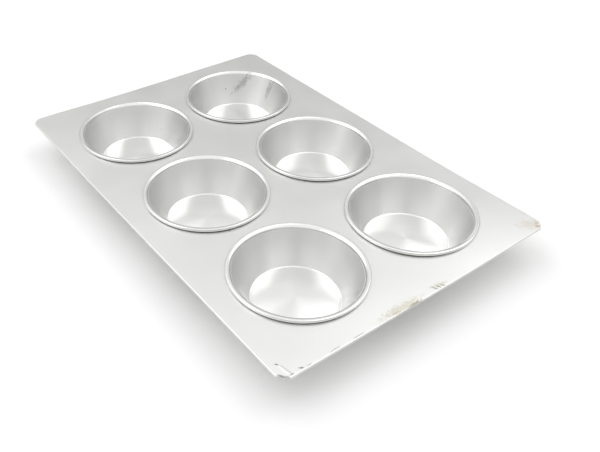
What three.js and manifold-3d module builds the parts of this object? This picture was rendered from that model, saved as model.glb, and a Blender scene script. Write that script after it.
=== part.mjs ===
// Six-cup muffin pan: one hemmed deck sheet with six drawn cups rolled over its collars.
// Millimetres, +Z up. X runs along the row of three cups, Y across the pair. The cups stand on z = 0.
import * as THREE from "three";
import { mergeVertices } from "three/addons/utils/BufferGeometryUtils.js";
import Module from "manifold-3d";

// Sheet and fits
const SHEET = 0.5;
const ROLL_GAP = 0.3; // between a cup's rolled rim and the deck it grips

// Deck
const CUP_LAND = 11.8; // flat deck between two rims
const EDGE_LAND = 19.4; // flat deck from a rim to the edge
const CORNER_CLIP = 6.5;
const HEM_WIDTH = 10;
const HEM_GAP = 0.6;

// Cup
const MOUTH_RADIUS = 44.6;
const FLOOR_RADIUS = 32.5;
const FLOOR_DEPTH = 25.5; // deck top down to the inside of the floor
const FLOOR_BEND = 1.5;
const LIP_ROLL = 0.95; // inside radius of the deck's rolled lip
const LIP_END_ANGLE = 30; // degrees above level where that lip ends
const LEAST_TUCK_BEND = 0.1;

// Roundness
const ROUND_SEGMENTS = 36;
const BEAD_STEPS = 5;
const BEND_STEPS = 2;

// Derived
const radians = THREE.MathUtils.degToRad;
const degrees = THREE.MathUtils.radToDeg;
const DECK_TOP = FLOOR_DEPTH + SHEET;
const LIP_OUTER = LIP_ROLL + SHEET;
const BEAD_INSIDE = LIP_OUTER + ROLL_GAP;
const BEAD_ROLL = BEAD_INSIDE + SHEET;
const BEAD_CENTRE_R = MOUTH_RADIUS + BEAD_ROLL;
const BEAD_OUTER_RADIUS = BEAD_CENTRE_R + BEAD_ROLL;
const LIP_END_RISE = LIP_ROLL * Math.sin(radians(LIP_END_ANGLE));
const TUCK_BEND = Math.max(LEAST_TUCK_BEND, SHEET + ROLL_GAP - LIP_END_RISE);
const BEAD_CENTRE_Z = DECK_TOP + ROLL_GAP + TUCK_BEND;
const TUCK_REACH = BEAD_CENTRE_R + LIP_ROLL;
const CUP_PITCH = 2 * BEAD_OUTER_RADIUS + CUP_LAND;
const EDGE_MARGIN = BEAD_OUTER_RADIUS + EDGE_LAND;
const DECK_LENGTH = 2 * CUP_PITCH + 2 * EDGE_MARGIN;
const DECK_WIDTH = CUP_PITCH + 2 * EDGE_MARGIN;
const FOLD_RADIUS = SHEET + HEM_GAP / 2;
const UNION_LAP = SHEET / 2; // how far joined bodies run into each other

const wasm = await Module();
wasm.setup();

// Points of an arc, ends included. Angles in degrees, 0 along +r and 90 up.
function arc(r, z, radius, from, to, steps) {
  const points = [];
  for (let i = 0; i <= steps; i++) {
    const angle = radians(from + ((to - from) * i) / steps);
    points.push(new THREE.Vector2(r + radius * Math.cos(angle), z + radius * Math.sin(angle)));
  }
  return points;
}

// A closed ring or cup turned round the Z axis from a profile in r and z.
function turned(profile) {
  const geometry = new THREE.LatheGeometry([...profile, profile[0]], ROUND_SEGMENTS);
  return geometry.rotateX(Math.PI / 2);
}

function solid(geometry) {
  const bare = geometry.clone();
  bare.deleteAttribute("normal");
  bare.deleteAttribute("uv");
  const merged = mergeVertices(bare, 1e-4);
  const mesh = new wasm.Mesh({
    numProp: 3,
    vertProperties: new Float32Array(merged.attributes.position.array),
    triVerts: new Uint32Array(merged.index.array),
  });
  return new wasm.Manifold(mesh);
}

function geometryOf(body) {
  const mesh = body.getMesh();
  const geometry = new THREE.BufferGeometry();
  geometry.setAttribute("position", new THREE.BufferAttribute(mesh.vertProperties, 3));
  geometry.setIndex(new THREE.BufferAttribute(mesh.triVerts, 1));
  geometry.computeVertexNormals();
  return geometry;
}

function plate(shape, thickness, bottom) {
  const geometry = new THREE.ExtrudeGeometry(shape, { depth: thickness, bevelEnabled: false });
  return geometry.translate(0, 0, bottom);
}

// Cup: floor, straight taper, bead rolled over the deck's lip, and a tuck under the lip.
// The taper's lean makes it tangent to the bead.
function taperLean() {
  const run = BEAD_CENTRE_R - FLOOR_RADIUS;
  const rise = BEAD_CENTRE_Z - SHEET;
  const across = Math.hypot(run, rise);
  return degrees(Math.atan2(run, rise) - Math.asin(BEAD_ROLL / across));
}

function cupGeometry() {
  const lean = taperLean();
  const bendTurn = Math.tan(radians((90 - lean) / 2));
  const insideBend = FLOOR_BEND * bendTurn;
  const outsideBend = FLOOR_BEND + SHEET;
  const bendR = FLOOR_RADIUS - insideBend;
  const bendZ = SHEET + FLOOR_BEND;
  const tuckR = BEAD_OUTER_RADIUS - TUCK_BEND;
  const tuckBottom = DECK_TOP + ROLL_GAP;
  const tuckTop = tuckBottom + SHEET;
  const rollStart = degrees(Math.asin((tuckTop - BEAD_CENTRE_Z) / BEAD_INSIDE));
  const profile = [
    new THREE.Vector2(0, 0),
    ...arc(bendR, bendZ, outsideBend, -90, -lean, BEND_STEPS),
    ...arc(BEAD_CENTRE_R, BEAD_CENTRE_Z, BEAD_INSIDE, 180 - lean, rollStart, BEAD_STEPS - 1),
    new THREE.Vector2(TUCK_REACH, tuckTop),
    new THREE.Vector2(TUCK_REACH, tuckBottom),
    ...arc(tuckR, BEAD_CENTRE_Z, TUCK_BEND, -90, 0, BEND_STEPS),
    ...arc(BEAD_CENTRE_R, BEAD_CENTRE_Z, BEAD_ROLL, 0, 180 - lean, BEAD_STEPS).slice(1),
    ...arc(bendR, bendZ, FLOOR_BEND, -lean, -90, BEND_STEPS),
    new THREE.Vector2(0, SHEET),
  ];
  return turned(profile);
}

// Deck: a flat sheet, four edges folded under, and a rolled lip round each cup hole.
function clippedRectangle(length, width, clip) {
  const x = length / 2;
  const y = width / 2;
  return new THREE.Shape([
    new THREE.Vector2(-x + clip, -y),
    new THREE.Vector2(x - clip, -y),
    new THREE.Vector2(x, -y + clip),
    new THREE.Vector2(x, y - clip),
    new THREE.Vector2(x - clip, y),
    new THREE.Vector2(-x + clip, y),
    new THREE.Vector2(-x, y - clip),
    new THREE.Vector2(-x, -y + clip),
  ]);
}

// The holes' corners lie on the same angles as the turned rings' corners.
function holePath(x, y, radius) {
  const path = new THREE.Path();
  for (let i = 0; i < ROUND_SEGMENTS; i++) {
    const angle = (i / ROUND_SEGMENTS) * 2 * Math.PI;
    const px = x + radius * Math.sin(angle);
    const py = y - radius * Math.cos(angle);
    if (i === 0) path.moveTo(px, py);
    else path.lineTo(px, py);
  }
  path.closePath();
  return path;
}

function lipRing() {
  const wallR = BEAD_CENTRE_R - LIP_OUTER;
  const bottom = DECK_TOP - SHEET;
  const profile = [
    new THREE.Vector2(wallR, bottom),
    new THREE.Vector2(wallR + SHEET, bottom),
    ...arc(BEAD_CENTRE_R, BEAD_CENTRE_Z, LIP_ROLL, 180, LIP_END_ANGLE, BEAD_STEPS - 2),
    ...arc(BEAD_CENTRE_R, BEAD_CENTRE_Z, LIP_OUTER, LIP_END_ANGLE, 180, BEAD_STEPS - 1),
  ];
  return turned(profile);
}

// One edge folded under, made along +X with its outermost line at y = 0 and the deck at y > 0.
function hem(length) {
  const middle = DECK_TOP - FOLD_RADIUS;
  const lap = FOLD_RADIUS + UNION_LAP;
  const section = [
    new THREE.Vector2(lap, DECK_TOP),
    ...arc(FOLD_RADIUS, middle, FOLD_RADIUS, 90, 270, 2 * BEND_STEPS),
    new THREE.Vector2(lap, DECK_TOP - 2 * FOLD_RADIUS),
    new THREE.Vector2(lap, DECK_TOP - 2 * FOLD_RADIUS + SHEET),
    ...arc(FOLD_RADIUS, middle, HEM_GAP / 2, 270, 90, 2 * BEND_STEPS),
    new THREE.Vector2(lap, DECK_TOP - SHEET),
  ];
  const foldLength = length - 2 * CORNER_CLIP;
  const fold = plate(new THREE.Shape(section), foldLength, -foldLength / 2);
  fold.rotateX(Math.PI / 2).rotateZ(Math.PI / 2);
  const half = foldLength / 2;
  const flangeShape = new THREE.Shape([
    new THREE.Vector2(-half + FOLD_RADIUS, FOLD_RADIUS),
    new THREE.Vector2(half - FOLD_RADIUS, FOLD_RADIUS),
    new THREE.Vector2(half - HEM_WIDTH, HEM_WIDTH),
    new THREE.Vector2(-half + HEM_WIDTH, HEM_WIDTH),
  ]);
  const flange = plate(flangeShape, SHEET, DECK_TOP - 2 * FOLD_RADIUS);
  return [fold, flange];
}

function deckGeometry(centres) {
  const shape = clippedRectangle(
    DECK_LENGTH - 2 * FOLD_RADIUS,
    DECK_WIDTH - 2 * FOLD_RADIUS,
    CORNER_CLIP - FOLD_RADIUS,
  );
  const holeRadius = BEAD_CENTRE_R - LIP_OUTER + UNION_LAP;
  for (const [x, y] of centres) shape.holes.push(holePath(x, y, holeRadius));
  let body = solid(plate(shape, SHEET, DECK_TOP - SHEET));
  for (const [x, y] of centres) body = body.add(solid(lipRing().translate(x, y, 0)));
  const sides = [
    [DECK_LENGTH, DECK_WIDTH, 0],
    [DECK_WIDTH, DECK_LENGTH, 1],
    [DECK_LENGTH, DECK_WIDTH, 2],
    [DECK_WIDTH, DECK_LENGTH, 3],
  ];
  for (const [length, across, quarter] of sides) {
    for (const piece of hem(length)) {
      piece.translate(0, -across / 2, 0).rotateZ((quarter * Math.PI) / 2);
      body = body.add(solid(piece));
    }
  }
  return geometryOf(body);
}

// Assembly
function metal(name, color, roughness) {
  return new THREE.MeshStandardMaterial({ name, color, metalness: 1, roughness });
}

const root = new THREE.Group();
root.name = "muffin_pan";

const columns = { back: -CUP_PITCH, middle: 0, front: CUP_PITCH };
const rows = { left: -CUP_PITCH / 2, right: CUP_PITCH / 2 };
const centres = [];
for (const [columnName, x] of Object.entries(columns)) {
  for (const [rowName, y] of Object.entries(rows)) {
    const cup = new THREE.Mesh(cupGeometry(), metal("cup_metal", 0xc9c9c6, 0.35));
    cup.position.set(x, y, 0);
    cup.name = `cup_${columnName}_${rowName}`;
    root.add(cup);
    centres.push([x, y]);
  }
}

const deck = new THREE.Mesh(deckGeometry(centres), metal("deck_metal", 0xd2d2cf, 0.4));
deck.name = "deck_sheet";
root.add(deck);

export default root;
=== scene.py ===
"""A six-cup muffin pan: spun cups, their rims rolled over a hemmed deck sheet, on white paper."""

import math

import bmesh
import bpy
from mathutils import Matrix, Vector, noise
from mathutils.geometry import delaunay_2d_cdt


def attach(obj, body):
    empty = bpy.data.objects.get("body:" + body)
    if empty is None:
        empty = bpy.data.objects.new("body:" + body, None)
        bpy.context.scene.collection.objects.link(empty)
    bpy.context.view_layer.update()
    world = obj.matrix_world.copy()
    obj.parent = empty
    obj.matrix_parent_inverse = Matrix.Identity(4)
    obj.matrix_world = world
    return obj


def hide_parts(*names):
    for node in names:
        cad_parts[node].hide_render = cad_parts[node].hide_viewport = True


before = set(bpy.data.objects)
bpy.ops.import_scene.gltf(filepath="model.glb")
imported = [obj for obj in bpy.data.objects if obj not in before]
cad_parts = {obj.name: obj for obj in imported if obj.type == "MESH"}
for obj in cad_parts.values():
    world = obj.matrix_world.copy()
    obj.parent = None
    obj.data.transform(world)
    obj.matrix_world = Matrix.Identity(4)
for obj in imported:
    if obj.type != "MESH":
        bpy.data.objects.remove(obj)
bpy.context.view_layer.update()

MM = 0.001

# Sheet metal, in metres
SHEET = 0.5 * MM
ROLL_GAP = 0.3 * MM

# Cups
MOUTH_RADIUS = 44.6 * MM
FLOOR_RADIUS = 32.5 * MM
FLOOR_DEPTH = 25.5 * MM
FLOOR_BEND = 1.5 * MM
FLOOR_DOME = 1.6 * MM
RIM_RISE = 2.8 * MM
RIM_RADIUS = 49.6 * MM
SHOULDER_BEND = 3.5 * MM
CURL_BEND = 0.7 * MM
FOOT_BEND = 0.9 * MM
FOOT_GAP = 0.5 * MM
ROUND_STEPS = 144
MERGE_DISTANCE = 0.005 * MM
# More than any bend has points, so that the bends sort one after another
BEND_RANK = 1000.0

# Deck
CUP_PITCH = 110 * MM
EDGE_MARGIN = 68.5 * MM
CORNER_CLIP = 6.5 * MM
LIP_ROLL = 0.95 * MM
LIP_END_ANGLE = math.radians(30)
HEM_WIDTH = 10 * MM
HEM_GAP = 0.6 * MM

# How the used deck departs from flat: lifted corners, waves, bulged cuts, a torn corner, a crease
CORNER_LIFT = 1.6 * MM
CORNER_LIFT_REACH = 110 * MM
EDGE_WAVE = 0.22 * MM
EDGE_WAVE_LENGTH = 55 * MM
# Distances from a cup's middle where the waves begin and where they are full
EDGE_WAVE_SPAN = (52 * MM, 70 * MM)
CORNER_BULGE = 0.9 * MM
CORNER_BURR = 2.6 * MM
CREASE_ENDS = ((168.5 * MM, -116.4 * MM), (176.0 * MM, -115.2 * MM))
CREASE_RISE = 0.22 * MM
CREASE_REACH = 1.0 * MM
# Where the waves and the burr lie in the noise that shapes them
EDGE_WAVE_ROW = 3.7
BURR_ROW = 2.3
BURR_STEP = 0.7

# Spacing of the deck's mesh
DECK_MESH = 5 * MM
EDGE_MESH = 3 * MM
EDGE_ROW = 0.4 * MM
EDGE_CLEAR = 2.5 * MM
HOLE_CLEAR = 2 * MM
CUT_MESH = 0.7 * MM
CREASE_MESH = 0.6 * MM
# Rows beside the crease, as shares of its reach
CREASE_ROWS = (-2.0, -1.0, -0.5, 0.0, 0.5, 1.0, 2.0)
LIP_INSIDE_STEPS = 8
LIP_OUTSIDE_STEPS = 10
FOLD_STEPS = 10
SHARP_ANGLE = math.radians(40)
# How the sheet is filled: triangles within its edges only, with points this close taken as one
WITHIN_EDGES = 1
SAME_POINT = 1e-7

# Sizes that follow from those
DECK_TOP = FLOOR_DEPTH + SHEET
LIP_OUTER = LIP_ROLL + SHEET
BEAD_ROLL = LIP_OUTER + ROLL_GAP + SHEET
BEAD_RADIUS = MOUTH_RADIUS + BEAD_ROLL
TUCK_BEND = SHEET + ROLL_GAP - LIP_ROLL * math.sin(LIP_END_ANGLE)
BEAD_HEIGHT = DECK_TOP + ROLL_GAP + TUCK_BEND
HALF_LENGTH = CUP_PITCH + EDGE_MARGIN
HALF_WIDTH = CUP_PITCH / 2 + EDGE_MARGIN
FOLD_RADIUS = SHEET + HEM_GAP / 2
HOLE_RADIUS = BEAD_RADIUS - LIP_ROLL

CUP_CENTRES = {
    f"cup_{column}_{row}": (x, y)
    for column, x in (("back", -CUP_PITCH), ("middle", 0.0), ("front", CUP_PITCH))
    for row, y in (("left", -CUP_PITCH / 2), ("right", CUP_PITCH / 2))
}


def node(tree, kind, inputs=(), **settings):
    """Adds a node, applies its settings, and sets or links its inputs by name or number."""
    made = tree.nodes.new(kind)
    for name, value in settings.items():
        setattr(made, name, value)
    for key, value in dict(inputs).items():
        if isinstance(value, bpy.types.NodeSocket):
            tree.links.new(value, made.inputs[key])
        else:
            made.inputs[key].default_value = value
    return made


def linear(hex_colour):
    """Turns an sRGB hex value into linear RGBA."""
    channels = [int(hex_colour[i : i + 2], 16) / 255 for i in (1, 3, 5)]
    return [c / 12.92 if c <= 0.04045 else ((c + 0.055) / 1.055) ** 2.4 for c in channels] + [1.0]


def smoothstep(low, high, value):
    """Eases from 0 at the low value to 1 at the high one."""
    t = min(max((value - low) / (high - low), 0.0), 1.0)
    return t * t * (3 - 2 * t)


# Materials

SHEET_TONES = ("#e9e9e7", "#ededeb")
SHEET_ROUGHNESS = (0.327, 0.407)
# Rolling lines run along the sheet; 0.9 mm apart is coarser than real, so that they show.
LINE_SPACING = 0.9 * MM
LINE_LENGTH = 60 * MM
LINE_DEPTH = 0.02 * MM
LINE_STRENGTH = 0.2
# Handling clouds the metal in patches of about these sizes.
SHEET_CLOUD = 40 * MM
CUP_CLOUD = 25 * MM
# The cloud pattern's values lie mostly in this span.
CLOUD_SPAN = (0.3, 0.7)

# For each part of a cup: roughness, how far its rings stretch what it mirrors, and two tones
WALL_FINISH = (0.36, 0.86, "#eeeeed", "#f0f0ef")
FLOOR_FINISH = (0.22, 0.75, "#f5f5f4", "#f8f8f7")
RIM_FINISH = (0.18, 0.60, "#f9f9f8", "#fbfbfa")
ROUGHNESS_SPREAD = 0.02
# A quarter turn lays the stretch across the rings.
RING_TURN = 0.25

# Blots fray about every 2 mm, by up to half their reach, and fade out from a quarter of it.
FRAY_SIZE = 2 * MM
FRAY_REACH = 0.5
BLOT_CORE = 0.25

# Stains, scuffs and specks: both ends and the width in millimetres, the colour and its cover
DECK_MARKS = {
    "corner tarnish": ((167, 110, 26), (176, 120, 26), 16, "#d5c9b8", 0.42),
    "right edge tarnish": ((177.5, 48, 26), (177.5, 114, 26), 1.8, "#b9ae9b", 0.5),
    "corner stain": ((171.5, 121.5, 26), (177.5, 114.5, 26), 6, "#b58e61", 0.85),
    "front tarnish": ((175.5, -44, 26), (175.5, -4, 26), 10, "#c8c2ab", 0.6),
    "front stain": ((177.6, -20, 26), (177.6, -6, 26), 2.6, "#877f67", 0.75),
    "front grime": ((176.6, -34, 26), (176.8, -26, 26), 2.0, "#9a947d", 0.5),
    "front smudge": ((174, 6, 26), (176, 19, 26), 6, "#cbc6b6", 0.55),
    "first scuff": ((173.4, 7.5, 26), (177.4, 9.5, 26), 1.8, "#75736e", 0.8),
    "second scuff": ((173.8, 10.5, 26), (177.6, 12.5, 26), 1.7, "#75736e", 0.75),
    "third scuff": ((174.6, 13.8, 26), (177.6, 15.8, 26), 1.5, "#75736e", 0.65),
    "corner speck": ((165.0, -117.8, 26), (166.6, -116.6, 26), 1.7, "#6a6862", 0.85),
    "edge speck": ((175.0, -108.8, 26), (176.4, -105.6, 26), 1.8, "#6a6862", 0.8),
    "corner grime": ((172.4, -122.2, 26), (177.4, -117.4, 26), 2.6, "#6e6b61", 0.8),
    "first edge fleck": ((176.5, -116.5, 26), (176.8, -112.5, 26), 1.5, "#777773", 0.7),
    "second edge fleck": ((176.7, -103, 26), (176.8, -100, 26), 1.3, "#777773", 0.65),
    "third edge fleck": ((176.8, -86, 26), (176.5, -76.5, 26), 1.4, "#7f7f7a", 0.6),
    "fourth edge fleck": ((176.9, -69, 26), (176.7, -53, 26), 1.3, "#7f7f7a", 0.55),
    "middle scratch": ((46.5, -66, 26), (50.5, -69, 26), 1.2, "#b2b2ae", 0.7),
}
CUP_MARKS = {
    "broad smear": ((-137.1, 91.1, 29), (-142.2, 73.8, 11.2), 9, "#a9a9a9", 0.65),
    "left smear": ((-116.5, 99.5, 29), (-115.4, 92.4, 12.4), 4.6, "#a9a9a9", 0.6),
    "right smear": ((-112.6, 101, 29), (-114.2, 89.3, 7), 4, "#a9a9a9", 0.55),
    "back right speck": ((-147.1, 66.9, 14.2), (-146.5, 66.9, 15), 1.6, "#636361", 0.85),
    "back left speck": ((-125.8, -22.1, 9), (-125.2, -22.1, 9.6), 1.4, "#636361", 0.8),
}


def new_material(name, metallic):
    """A plain material, with its node tree and its shader."""
    material = bpy.data.materials.new(name)
    material.use_nodes = True
    tree = material.node_tree
    shader = tree.nodes["Principled BSDF"]
    shader.inputs["Metallic"].default_value = metallic
    return material, tree, shader


def add_marks(tree, tone, marks):
    """Lays soft, frayed blots over a tone, each drawn out between its two ends."""
    place = node(tree, "ShaderNodeTexCoord").outputs["Object"]
    fray = node(
        tree,
        "ShaderNodeTexNoise",
        {"Vector": place, "Scale": 1 / FRAY_SIZE, "Detail": 3.0},
        normalize=False,
    )
    for start, end, width, colour, strength in marks.values():
        start, end = Vector(start) * MM, Vector(end) * MM
        run = end - start
        local = node(
            tree,
            "ShaderNodeMapping",
            {
                "Vector": place,
                "Location": (start + end) / 2,
                "Rotation": run.to_track_quat("X", "Z").to_euler(),
                "Scale": ((run.length + width * MM) / 2, width * MM / 2, width * MM / 2),
            },
            vector_type="TEXTURE",
        )
        frayed = node(
            tree,
            "ShaderNodeVectorMath",
            {0: fray.outputs["Color"], 1: [FRAY_REACH] * 3, 2: local.outputs[0]},
            operation="MULTIPLY_ADD",
        )
        reach = node(tree, "ShaderNodeVectorMath", {0: frayed.outputs[0]}, operation="LENGTH")
        cover = node(
            tree,
            "ShaderNodeMapRange",
            {
                "Value": reach.outputs["Value"],
                "From Min": BLOT_CORE,
                "From Max": 1.0,
                "To Min": strength,
                "To Max": 0.0,
            },
            interpolation_type="SMOOTHSTEP",
        )
        tone = node(
            tree,
            "ShaderNodeMix",
            {"Factor": cover.outputs[0], 6: tone, 7: linear(colour)},
            data_type="RGBA",
        ).outputs[2]
    return tone


def cloud_over(tree, shader, cloud, tones, roughness, marks):
    """Varies a metal's tone and roughness by a cloud pattern, and lays its marks over the tone."""
    dull, bright = (linear(tone) for tone in tones)
    tone = node(tree, "ShaderNodeMix", {"Factor": cloud, 6: dull, 7: bright}, data_type="RGBA")
    tree.links.new(add_marks(tree, tone.outputs[2], marks), shader.inputs["Base Color"])
    gloss = node(
        tree,
        "ShaderNodeMapRange",
        {
            "Value": cloud,
            "From Min": CLOUD_SPAN[0],
            "From Max": CLOUD_SPAN[1],
            "To Min": roughness[0],
            "To Max": roughness[1],
        },
    )
    tree.links.new(gloss.outputs[0], shader.inputs["Roughness"])


def satin_sheet_metal():
    """Aluminium sheet, cold rolled and etched: pale satin, faintly lined, stained at its front."""
    material, tree, shader = new_material("aluminium sheet, satin", 1.0)
    place = node(tree, "ShaderNodeTexCoord").outputs["Object"]
    along = node(
        tree,
        "ShaderNodeMapping",
        {"Vector": place, "Scale": (1 / LINE_LENGTH, 1 / LINE_SPACING, 1 / LINE_SPACING)},
    )
    lines = node(
        tree, "ShaderNodeTexNoise", {"Vector": along.outputs[0], "Scale": 1.0, "Detail": 3.0}
    )
    cloud = node(
        tree,
        "ShaderNodeTexNoise",
        {"Vector": place, "Scale": 1 / SHEET_CLOUD, "Detail": 4.0, "Roughness": 0.6},
    )
    cloud_over(tree, shader, cloud.outputs[0], SHEET_TONES, SHEET_ROUGHNESS, DECK_MARKS)
    bump = node(
        tree,
        "ShaderNodeBump",
        {"Height": lines.outputs[0], "Distance": LINE_DEPTH, "Strength": LINE_STRENGTH},
    )
    tree.links.new(bump.outputs[0], shader.inputs["Normal"])
    return material


def spun_metal(name, finish):
    """Aluminium spun to a cup: fine rings stretch reflections up the wall and over the floor."""
    roughness, rings, *tones = finish
    spread = (roughness - ROUGHNESS_SPREAD, roughness + ROUGHNESS_SPREAD)
    material, tree, shader = new_material(name, 1.0)
    place = node(tree, "ShaderNodeAttribute", attribute_name="from_centre").outputs["Vector"]
    cloud = node(
        tree, "ShaderNodeTexNoise", {"Vector": place, "Scale": 1 / CUP_CLOUD, "Detail": 4.0}
    )
    cloud_over(tree, shader, cloud.outputs[0], tones, spread, CUP_MARKS)
    shader.inputs["Anisotropic"].default_value = rings
    shader.inputs["Anisotropic Rotation"].default_value = RING_TURN
    round_axis = node(tree, "ShaderNodeTangent", direction_type="RADIAL", axis="Z")
    tree.links.new(round_axis.outputs[0], shader.inputs["Tangent"])
    return material


# Cups, made by one rule from named sizes

# Bends of the profile from the floor's middle outwards, with the points in each
CUP_BENDS = {"Floor dome": 16, "Floor bend": 7, "Rim shoulder": 10, "Rim curl": 12, "Rim foot": 7}
BEND_INPUTS = {"centre": "Vector", "radius": "Float", "start": "Float", "turn": "Float"}
CUP_INPUTS = {
    "Cup place": "Vector",
    "Round steps": "Int",
    "Floor edge": "Float",
    "Bend top": "Float",
    "Rim base": "Float",
    "Wall metal": "Material",
    "Floor metal": "Material",
    "Rim metal": "Material",
}


def spun_cup_tree():
    """Joins the bends into a profile and turns it once round the cup's axis."""
    tree = bpy.data.node_groups.new("spun cup", "GeometryNodeTree")
    kinds = {f"{bend} {name}": kind for bend in CUP_BENDS for name, kind in BEND_INPUTS.items()}
    kinds.update(CUP_INPUTS)
    for name, kind in kinds.items():
        tree.interface.new_socket(name, in_out="INPUT", socket_type=f"NodeSocket{kind}")
    tree.interface.new_socket("Cup", in_out="OUTPUT", socket_type="NodeSocketGeometry")
    size = tree.nodes.new("NodeGroupInput").outputs
    index = node(tree, "GeometryNodeInputIndex").outputs[0]

    # Profile, with the distance from the axis along X and the height along Y
    joined = node(tree, "GeometryNodeJoinGeometry")
    for i, (bend, steps) in enumerate(CUP_BENDS.items()):
        arc = node(
            tree,
            "GeometryNodeCurveArc",
            {
                "Resolution": steps,
                "Radius": size[f"{bend} radius"],
                "Start Angle": size[f"{bend} start"],
                "Sweep Angle": size[f"{bend} turn"],
            },
            mode="RADIUS",
        )
        moved = node(
            tree,
            "GeometryNodeTransform",
            {"Geometry": arc.outputs[0], "Translation": size[f"{bend} centre"]},
        )
        dots = node(tree, "GeometryNodeCurveToPoints", {0: moved.outputs[0]}, mode="EVALUATED")
        rank = node(tree, "ShaderNodeMath", {0: index, 1: BEND_RANK * i}, operation="ADD")
        ranked = node(
            tree,
            "GeometryNodeStoreNamedAttribute",
            {"Geometry": dots.outputs[0], "Name": "order", "Value": rank.outputs[0]},
            data_type="FLOAT",
            domain="POINT",
        )
        tree.links.new(ranked.outputs[0], joined.inputs[0])
    order = node(
        tree, "GeometryNodeInputNamedAttribute", {"Name": "order"}, data_type="FLOAT"
    ).outputs[0]
    flat = node(
        tree, "GeometryNodePointsToCurves", {"Points": joined.outputs[0], "Weight": order}
    ).outputs[0]
    upright = node(
        tree, "GeometryNodeTransform", {"Geometry": flat, "Rotation": (math.pi / 2, 0, 0)}
    ).outputs[0]

    # A grid with a row for each profile point, each row then turned round the axis
    count = node(
        tree, "GeometryNodeAttributeDomainSize", {0: upright}, component="CURVE"
    ).outputs["Point Count"]
    columns = node(
        tree, "ShaderNodeMath", {0: size["Round steps"], 1: 1.0}, operation="ADD"
    ).outputs[0]
    grid = node(
        tree, "GeometryNodeMeshGrid", {"Vertices X": count, "Vertices Y": columns}
    ).outputs["Mesh"]
    step = node(tree, "ShaderNodeMath", {0: index, 1: columns}, operation="MODULO").outputs[0]
    before = node(tree, "ShaderNodeMath", {0: index, 1: step}, operation="SUBTRACT").outputs[0]
    share = node(tree, "ShaderNodeMath", {0: before, 1: columns}, operation="DIVIDE").outputs[0]
    row = node(tree, "ShaderNodeMath", {0: share}, operation="ROUND").outputs[0]
    position = node(tree, "GeometryNodeInputPosition").outputs[0]
    spot = node(
        tree,
        "GeometryNodeSampleIndex",
        {"Geometry": upright, "Value": position, "Index": row},
        data_type="FLOAT_VECTOR",
        domain="POINT",
    ).outputs[0]
    round_share = node(
        tree, "ShaderNodeMath", {0: step, 1: size["Round steps"]}, operation="DIVIDE"
    ).outputs[0]
    angle = node(
        tree, "ShaderNodeMath", {0: round_share, 1: math.tau}, operation="MULTIPLY"
    ).outputs[0]
    turned = node(
        tree, "ShaderNodeVectorRotate", {"Vector": spot, "Angle": angle}, rotation_type="Z_AXIS"
    ).outputs[0]
    shell = node(
        tree, "GeometryNodeSetPosition", {"Geometry": grid, "Position": turned}
    ).outputs[0]
    closed = node(
        tree, "GeometryNodeMergeByDistance", {"Geometry": shell, "Distance": MERGE_DISTANCE}
    ).outputs[0]
    smooth = node(
        tree, "GeometryNodeSetShadeSmooth", {"Geometry": closed, "Shade Smooth": True}
    ).outputs[0]
    marked = node(
        tree,
        "GeometryNodeStoreNamedAttribute",
        {"Geometry": smooth, "Name": "from_centre", "Value": position},
        data_type="FLOAT_VECTOR",
        domain="POINT",
    ).outputs[0]
    placed = node(
        tree, "GeometryNodeTransform", {"Geometry": marked, "Translation": size["Cup place"]}
    ).outputs[0]
    real = node(tree, "GeometryNodeRealizeInstances", {0: placed}).outputs[0]

    # Wall metal all over, then the burnished metal of the floor bend and rim, then the floor's own
    from_centre = node(
        tree,
        "GeometryNodeInputNamedAttribute",
        {"Name": "from_centre"},
        data_type="FLOAT_VECTOR",
    ).outputs[0]
    level = node(
        tree, "ShaderNodeVectorMath", {0: from_centre, 1: (1, 1, 0)}, operation="MULTIPLY"
    ).outputs[0]
    reach = node(tree, "ShaderNodeVectorMath", {0: level}, operation="LENGTH").outputs["Value"]
    height = node(tree, "ShaderNodeSeparateXYZ", {0: from_centre}).outputs["Z"]
    on_floor = node(
        tree, "ShaderNodeMath", {0: reach, 1: size["Floor edge"]}, operation="LESS_THAN"
    ).outputs[0]
    on_bend = node(
        tree, "ShaderNodeMath", {0: height, 1: size["Bend top"]}, operation="LESS_THAN"
    ).outputs[0]
    on_rim = node(
        tree, "ShaderNodeMath", {0: height, 1: size["Rim base"]}, operation="GREATER_THAN"
    ).outputs[0]
    burnished = node(
        tree, "ShaderNodeMath", {0: on_rim, 1: on_bend}, operation="MAXIMUM"
    ).outputs[0]
    cup = node(
        tree, "GeometryNodeSetMaterial", {"Geometry": real, "Material": size["Wall metal"]}
    ).outputs[0]
    for where, metal in ((burnished, "Rim metal"), (on_floor, "Floor metal")):
        cup = node(
            tree,
            "GeometryNodeSetMaterial",
            {"Geometry": cup, "Selection": where, "Material": size[metal]},
        ).outputs[0]
    node(tree, "NodeGroupOutput", {"Cup": cup})
    return tree


def add_object(name, data):
    """Puts a mesh, lamp or camera in the scene as an object."""
    made = bpy.data.objects.new(name, data)
    bpy.context.scene.collection.objects.link(made)
    return made


def finish_piece(piece, cad_node):
    """Hands a piece to the frame in place of its solid."""
    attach(piece, "root")
    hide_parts(cad_node)


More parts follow.
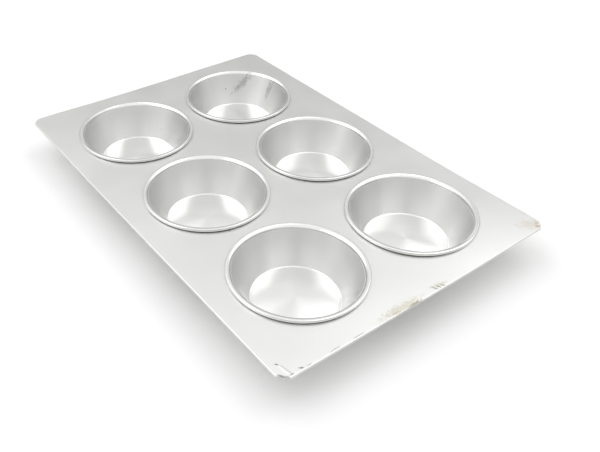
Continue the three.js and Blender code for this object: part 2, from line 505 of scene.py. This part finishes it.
def cup_sizes():
    """Values for the cup tree's named inputs, all but each cup's place."""
    quarter = math.pi / 2
    rim_top = DECK_TOP + RIM_RISE
    shoulder = Vector((MOUTH_RADIUS + SHOULDER_BEND, rim_top - SHOULDER_BEND, 0))
    curl = Vector((RIM_RADIUS - CURL_BEND, rim_top - CURL_BEND, 0))
    # The wall runs from the sharp floor corner to the shoulder's side.
    run, rise = shoulder.x - FLOOR_RADIUS, shoulder.y - SHEET
    lean = math.atan2(run, rise) - math.asin(SHOULDER_BEND / math.hypot(run, rise))
    floor_turn = quarter - lean
    floor_flat = FLOOR_RADIUS - FLOOR_BEND * math.tan(floor_turn / 2)
    floor_bend = Vector((floor_flat, SHEET + FLOOR_BEND, 0))
    dome = (floor_bend.x**2 + FLOOR_DOME**2) / (2 * FLOOR_DOME)
    return {
        "Floor dome centre": (0, SHEET + FLOOR_DOME - dome, 0),
        "Floor dome radius": dome,
        "Floor dome start": quarter,
        "Floor dome turn": -math.asin(floor_bend.x / dome),
        "Floor bend centre": floor_bend,
        "Floor bend radius": FLOOR_BEND,
        "Floor bend start": -quarter,
        "Floor bend turn": floor_turn,
        "Rim shoulder centre": shoulder,
        "Rim shoulder radius": SHOULDER_BEND,
        "Rim shoulder start": quarter + floor_turn,
        "Rim shoulder turn": -floor_turn,
        "Rim curl centre": curl,
        "Rim curl radius": CURL_BEND,
        "Rim curl start": quarter,
        "Rim curl turn": -quarter,
        "Rim foot centre": (RIM_RADIUS - FOOT_BEND, DECK_TOP + FOOT_GAP + FOOT_BEND, 0),
        "Rim foot radius": FOOT_BEND,
        "Rim foot start": 0.0,
        "Rim foot turn": -quarter,
        "Round steps": ROUND_STEPS,
        "Floor edge": floor_bend.x,
        "Bend top": SHEET + FLOOR_BEND,
        "Rim base": DECK_TOP,
        "Wall metal": spun_metal("aluminium, spun", WALL_FINISH),
        "Floor metal": spun_metal("aluminium, spun floor", FLOOR_FINISH),
        "Rim metal": spun_metal("aluminium, rolled rim", RIM_FINISH),
    }


def make_cups():
    """Six cups from the one tree, each given the sheet's thickness."""
    tree = spun_cup_tree()
    sizes = cup_sizes()
    for cad_node, (x, y) in CUP_CENTRES.items():
        cup = add_object(f"{cad_node}_spun", bpy.data.meshes.new(f"{cad_node}_spun"))
        spinning = cup.modifiers.new("spinning", "NODES")
        spinning.node_group = tree
        sizes["Cup place"] = (x, y, 0.0)
        for item in tree.interface.items_tree:
            if item.in_out == "INPUT":
                spinning[item.identifier] = sizes[item.name]
        thickness = cup.modifiers.new("sheet", "SOLIDIFY")
        thickness.thickness = SHEET
        thickness.offset = -1
        graph = bpy.context.evaluated_depsgraph_get()
        mesh = bpy.data.meshes.new_from_object(cup.evaluated_get(graph), depsgraph=graph)
        cup.modifiers.clear()
        cup.data = mesh
        finish_piece(cup, cad_node)


# Deck sheet


def arc_points(r, z, radius, start, end, steps):
    """Points round an arc in a section; angles in degrees."""
    turns = [math.radians(start + (end - start) * i / steps) for i in range(steps + 1)]
    return [(r + radius * math.cos(t), z + radius * math.sin(t)) for t in turns]


def spaced(start, end, spacing):
    """Points from start up to, and not including, end."""
    start, end = Vector(start), Vector(end)
    count = max(1, round((end - start).length / spacing))
    return [start.lerp(end, i / count) for i in range(count)]


def ring(centre, radius, steps=ROUND_STEPS):
    """Points round a circle."""
    x, y = centre
    turns = [math.tau * step / steps for step in range(steps)]
    return [Vector((x + radius * math.cos(t), y + radius * math.sin(t))) for t in turns]


def at_height(spots, z):
    """Flat points set at one height."""
    return [(spot.x, spot.y, z) for spot in spots]


def from_cups(spot):
    """Distance from a flat point to the nearest cup's middle."""
    return min((spot - Vector(centre)).length for centre in CUP_CENTRES.values())


def add_row(corners, row):
    """Adds a row of corners and gives their numbers."""
    first = len(corners)
    corners += row
    return list(range(first, len(corners)))


def strip(rows, closed=False):
    """Faces between rows of corners of equal length."""
    faces = []
    for lower, upper in zip(rows, rows[1:]):
        for k in range(len(lower) if closed else len(lower) - 1):
            after = (k + 1) % len(lower)
            faces.append((lower[k], lower[after], upper[after], upper[k]))
    return faces


def deck_sides():
    """Each side's outward normal, direction, distance from the middle and half length."""
    sides = []
    for nx, ny in ((0, -1), (1, 0), (0, 1), (-1, 0)):
        normal, along = Vector((nx, ny)), Vector((-ny, nx))
        reach = HALF_LENGTH if nx else HALF_WIDTH
        half = (HALF_WIDTH if nx else HALF_LENGTH) - CORNER_CLIP
        sides.append((normal, along, reach, half))
    return sides


def deck_rise(x, y):
    """How far the used sheet stands above flat: lifted corners, waves in the margin, a crease."""
    spot = Vector((x, y))
    wave = noise.noise(Vector((x / EDGE_WAVE_LENGTH, y / EDGE_WAVE_LENGTH, EDGE_WAVE_ROW)))
    rise = EDGE_WAVE * wave * smoothstep(*EDGE_WAVE_SPAN, from_cups(spot))
    for sign in (-1, 1):
        far = (spot - Vector((sign * HALF_LENGTH, sign * HALF_WIDTH))).length
        rise += CORNER_LIFT * (1 - smoothstep(0.0, CORNER_LIFT_REACH, far))
    start, end = map(Vector, CREASE_ENDS)
    run = end - start
    share = min(max((spot - start).dot(run) / run.length_squared, 0.0), 1.0)
    far = (spot - start.lerp(end, share)).length
    rise += CREASE_RISE * (1 - smoothstep(0.0, CREASE_REACH, far))
    return rise


def deck_outline(sides):
    """Points round the sheet, and the numbers of those along each folded side and cut corner."""
    flat, folds, cuts = [], [], []
    for i, (normal, along, reach, half) in enumerate(sides):
        after, turn, next_reach, next_half = sides[(i + 1) % len(sides)]
        line = normal * (reach - FOLD_RADIUS)
        end = line + along * half
        onward = after * (next_reach - FOLD_RADIUS) - turn * next_half
        fold = add_row(flat, spaced(line - along * half, end, EDGE_MESH))
        cut = spaced(end, onward, CUT_MESH)
        for k, spot in enumerate(cut):
            bow = math.sin(math.pi * k / len(cut))
            # The first cut is the front corner, torn and burred.
            burr = CORNER_BURR * noise.noise(Vector((BURR_STEP * k, BURR_ROW, 0.0)))
            out = CORNER_BULGE if i else burr
            cut[k] = spot + (normal + after).normalized() * bow * out
        cut = add_row(flat, cut)
        folds.append(fold + cut[:1])
        cuts.append(cut + [cut[-1] + 1])
    cuts[-1][-1] = 0
    return flat, folds, cuts


def inside_points(sides):
    """Points over the sheet, kept clear of its edges so that the triangles stay even."""
    spots = []
    x_count, y_count = int(HALF_LENGTH / DECK_MESH), int(HALF_WIDTH / DECK_MESH)
    inset = EDGE_CLEAR + FOLD_RADIUS
    clip = HALF_LENGTH + HALF_WIDTH - CORNER_CLIP - 2 * inset
    for i in range(-x_count, x_count + 1):
        for j in range(-y_count, y_count + 1):
            # Every second row is shifted by half a step.
            spot = Vector((i * DECK_MESH, (j + 0.5 * (i % 2)) * DECK_MESH))
            x, y = abs(spot.x), abs(spot.y)
            within = x < HALF_LENGTH - inset and y < HALF_WIDTH - inset and x + y < clip
            if within and from_cups(spot) > HOLE_RADIUS + HOLE_CLEAR:
                spots.append(spot)
    # A row close to each fold keeps the fold's curved shading off the flat sheet.
    for normal, along, reach, half in sides:
        line = normal * (reach - FOLD_RADIUS - EDGE_ROW)
        spots += spaced(line - along * (half - EDGE_ROW), line + along * half, EDGE_MESH)
    # Closer rows follow the crease.
    start, end = map(Vector, CREASE_ENDS)
    across = (end - start).normalized().orthogonal()
    for share in CREASE_ROWS:
        aside = across * share * CREASE_REACH
        spots += spaced(start + aside, end + aside, CREASE_MESH)
    return spots


def rolled_lip(corners, top, bottom, centre):
    """Faces of the lip that is rolled up round one hole."""
    turn = math.degrees(LIP_END_ANGLE)
    section = arc_points(BEAD_RADIUS, BEAD_HEIGHT, LIP_ROLL, 180, turn, LIP_INSIDE_STEPS)
    section += arc_points(BEAD_RADIUS, BEAD_HEIGHT, LIP_OUTER, turn, 180, LIP_OUTSIDE_STEPS)
    section.append((BEAD_RADIUS - LIP_OUTER, DECK_TOP - SHEET))
    rows = [add_row(corners, at_height(ring(centre, r), z)) for r, z in section]
    return strip([top] + rows + [bottom], closed=True)


def folded_edge(corners, side, top, bottom):
    """Faces of one hem: out round the fold and in under the sheet."""
    normal, along, reach, half = side
    middle = DECK_TOP - FOLD_RADIUS
    places = [Vector(corners[k][:2]).dot(along) for k in top]

    def swept(radius):
        section = arc_points(FOLD_RADIUS, middle, radius, 90, 270, FOLD_STEPS)[1:]
        section.append((HEM_WIDTH, middle - radius))
        rows = []
        for u, z in section:
            # The flange is mitred, so it gets shorter further in.
            share = 1 - max(0.0, u - FOLD_RADIUS) / half
            spots = [normal * (reach - u) + along * place * share for place in places]
            rows.append(add_row(corners, at_height(spots, z)))
        return rows

    outside = [top] + swept(FOLD_RADIUS)
    inside = [bottom] + swept(HEM_GAP / 2)
    faces = strip(outside + inside[::-1])
    for end in (0, -1):
        faces += strip([[row[end] for row in rows] for rows in (outside, inside)])
    return faces


def make_deck():
    """One closed mesh: both sides of the sheet, joined by its lips, hems and cut corners."""
    sides = deck_sides()
    flat, folds, cuts = deck_outline(sides)
    loops = [list(range(len(flat)))]
    loops += [add_row(flat, ring(centre, HOLE_RADIUS)) for centre in CUP_CENTRES.values()]
    edges = [(loop[i - 1], loop[i]) for loop in loops for i in range(len(loop))]
    flat += inside_points(sides)
    filled = delaunay_2d_cdt(flat, edges, [], WITHIN_EDGES, SAME_POINT)
    points, _, triangles, from_point, _, _ = filled
    renumbered = {old: new for new, olds in enumerate(from_point) for old in olds}
    middles = [sum((points[k] for k in t), Vector((0, 0))) / 3 for t in triangles]
    kept = [t for t, middle in zip(triangles, middles) if from_cups(middle) > HOLE_RADIUS]

    under = len(points)
    corners = at_height(points, DECK_TOP) + at_height(points, DECK_TOP - SHEET)
    faces = [tuple(t) for t in kept] + [tuple(under + k for k in reversed(t)) for t in kept]

    def both_sides(row):
        top = [renumbered[k] for k in row]
        return top, [under + k for k in top]

    for loop, centre in zip(loops[1:], CUP_CENTRES.values()):
        faces += rolled_lip(corners, *both_sides(loop), centre)
    for side, fold in zip(sides, folds):
        faces += folded_edge(corners, side, *both_sides(fold))
    for cut in cuts:
        faces += strip(both_sides(cut))

    mesh = bpy.data.meshes.new("deck_sheet_folded")
    mesh.from_pydata([(x, y, z + deck_rise(x, y)) for x, y, z in corners], [], faces)
    work = bmesh.new()
    work.from_mesh(mesh)
    bmesh.ops.recalc_face_normals(work, faces=work.faces)
    for edge in work.edges:
        edge.smooth = len(edge.link_faces) == 2 and edge.calc_face_angle(0.0) < SHARP_ANGLE
    for face in work.faces:
        face.smooth = True
    work.to_mesh(mesh)
    work.free()
    mesh.materials.append(satin_sheet_metal())
    finish_piece(add_object("deck_sheet_folded", mesh), "deck_sheet")


# Studio

WHITE = (1, 1, 1, 1)

PAPER_COLOUR = "#fdfdfd"
PAPER_ROUGHNESS = 0.9
PAPER_SPECULAR = 0.1
PAPER_LIFT = 0.050
# The paper lies just under the cups and rises far away all round; radius and height in metres.
PAPER_SWEEP = ((10.0, 0.0), (11.0, 0.12), (12.0, 0.5), (13.0, 1.2))
PAPER_DROP = 0.05 * MM
PAPER_STEPS = 48

# Brightness of the tent at the horizon, at the top of its sides and overhead
TENT_HORIZON = 0.057
TENT_SIDES = 0.860
TENT_OVERHEAD = 0.920
# Sine of the elevation at which the sides end
TENT_SIDE_HEIGHT = 0.691

# Straight beyond the pan as the camera sees it, and to its right
BEYOND = Vector((-0.82, 0.57, 0))
RIGHT = Vector((0.57, 0.82, 0))
SOFTBOX_AWAY = 3.5
# Degrees from straight beyond, clockwise from above; degrees of rise; width and height; power
SOFTBOXES = {
    "left softbox": (-72.4, 55.2, 4.44, 2.13, 32.6),
    "right softbox": (55.9, 57.2, 2.47, 2.00, 17.2),
}

CAMERA_PLACE = (369.8 * MM, -297.93 * MM, 350.54 * MM)
CAMERA_TURN = (50.994, 0.096, 54.857)
LENS_LENGTH = 42.223
LENS_SHIFT = 0.12607
SENSOR_WIDTH = 36
NEAREST_SEEN = 0.01


def make_floor():
    """White paper, lifted a little where it is seen or mirrored; it keeps the shadow."""
    corners, rows = [], []
    for reach, rise in PAPER_SWEEP:
        spots = ring((0, 0), reach, PAPER_STEPS)
        rows.append(add_row(corners, at_height(spots, rise - PAPER_DROP)))
    mesh = bpy.data.meshes.new("floor")
    mesh.from_pydata(corners, [], [tuple(rows[0])] + strip(rows, closed=True))
    material, tree, shader = new_material("white paper", 0.0)
    shader.inputs["Base Color"].default_value = linear(PAPER_COLOUR)
    shader.inputs["Roughness"].default_value = PAPER_ROUGHNESS
    shader.inputs["Specular IOR Level"].default_value = PAPER_SPECULAR
    shader.inputs["Emission Color"].default_value = WHITE
    ray = node(tree, "ShaderNodeLightPath").outputs
    seen = ray["Is Camera Ray"]
    for other in ("Is Glossy Ray", "Is Transmission Ray"):
        seen = node(
            tree, "ShaderNodeMath", {0: seen, 1: ray[other]}, operation="MAXIMUM"
        ).outputs[0]
    lift = node(tree, "ShaderNodeMath", {0: seen, 1: PAPER_LIFT}, operation="MULTIPLY")
    tree.links.new(lift.outputs[0], shader.inputs["Emission Strength"])
    mesh.materials.append(material)
    add_object("floor", mesh)


def make_room():
    """A pale tent, dim near the floor."""
    world = bpy.data.worlds.new("studio tent")
    world.use_nodes = True
    tree = world.node_tree
    direction = node(tree, "ShaderNodeTexCoord").outputs["Generated"]
    height = node(tree, "ShaderNodeSeparateXYZ", {0: direction}).outputs["Z"]
    sides = node(
        tree,
        "ShaderNodeMapRange",
        {
            "Value": height,
            "From Max": TENT_SIDE_HEIGHT,
            "To Min": TENT_HORIZON,
            "To Max": TENT_SIDES,
        },
    )
    tent = node(
        tree,
        "ShaderNodeMapRange",
        {
            "Value": height,
            "From Min": TENT_SIDE_HEIGHT,
            "To Min": sides.outputs[0],
            "To Max": TENT_OVERHEAD,
        },
    )
    background = tree.nodes["Background"]
    background.inputs["Color"].default_value = WHITE
    tree.links.new(tent.outputs[0], background.inputs["Strength"])
    bpy.context.scene.world = world


def add_softbox(name, azimuth, rise, width, height, power):
    """A softbox that faces the pan."""
    azimuth, rise = math.radians(azimuth), math.radians(rise)
    level = BEYOND * math.cos(azimuth) + RIGHT * math.sin(azimuth)
    place = SOFTBOX_AWAY * (level * math.cos(rise) + Vector((0, 0, math.sin(rise))))
    lamp = bpy.data.lights.new(name, "AREA")
    lamp.shape = "RECTANGLE"
    lamp.size, lamp.size_y = width, height
    lamp.energy = power
    made = add_object(name, lamp)
    made.location = place
    made.rotation_euler = (-place).to_track_quat("-Z", "Y").to_euler()


def make_camera():
    """The camera, as fitted to the rims and the deck's edges."""
    lens = bpy.data.cameras.new("camera")
    lens.sensor_width = SENSOR_WIDTH
    lens.lens = LENS_LENGTH
    lens.shift_x = LENS_SHIFT
    lens.clip_start = NEAREST_SEEN
    made = add_object("camera", lens)
    made.location = CAMERA_PLACE
    made.rotation_euler = [math.radians(angle) for angle in CAMERA_TURN]
    bpy.context.scene.camera = made


make_camera()
make_cups()
make_deck()
make_floor()
make_room()
for name, settings in SOFTBOXES.items():
    add_softbox(name, *settings)
bpy.context.scene.view_settings.view_transform = "Standard"
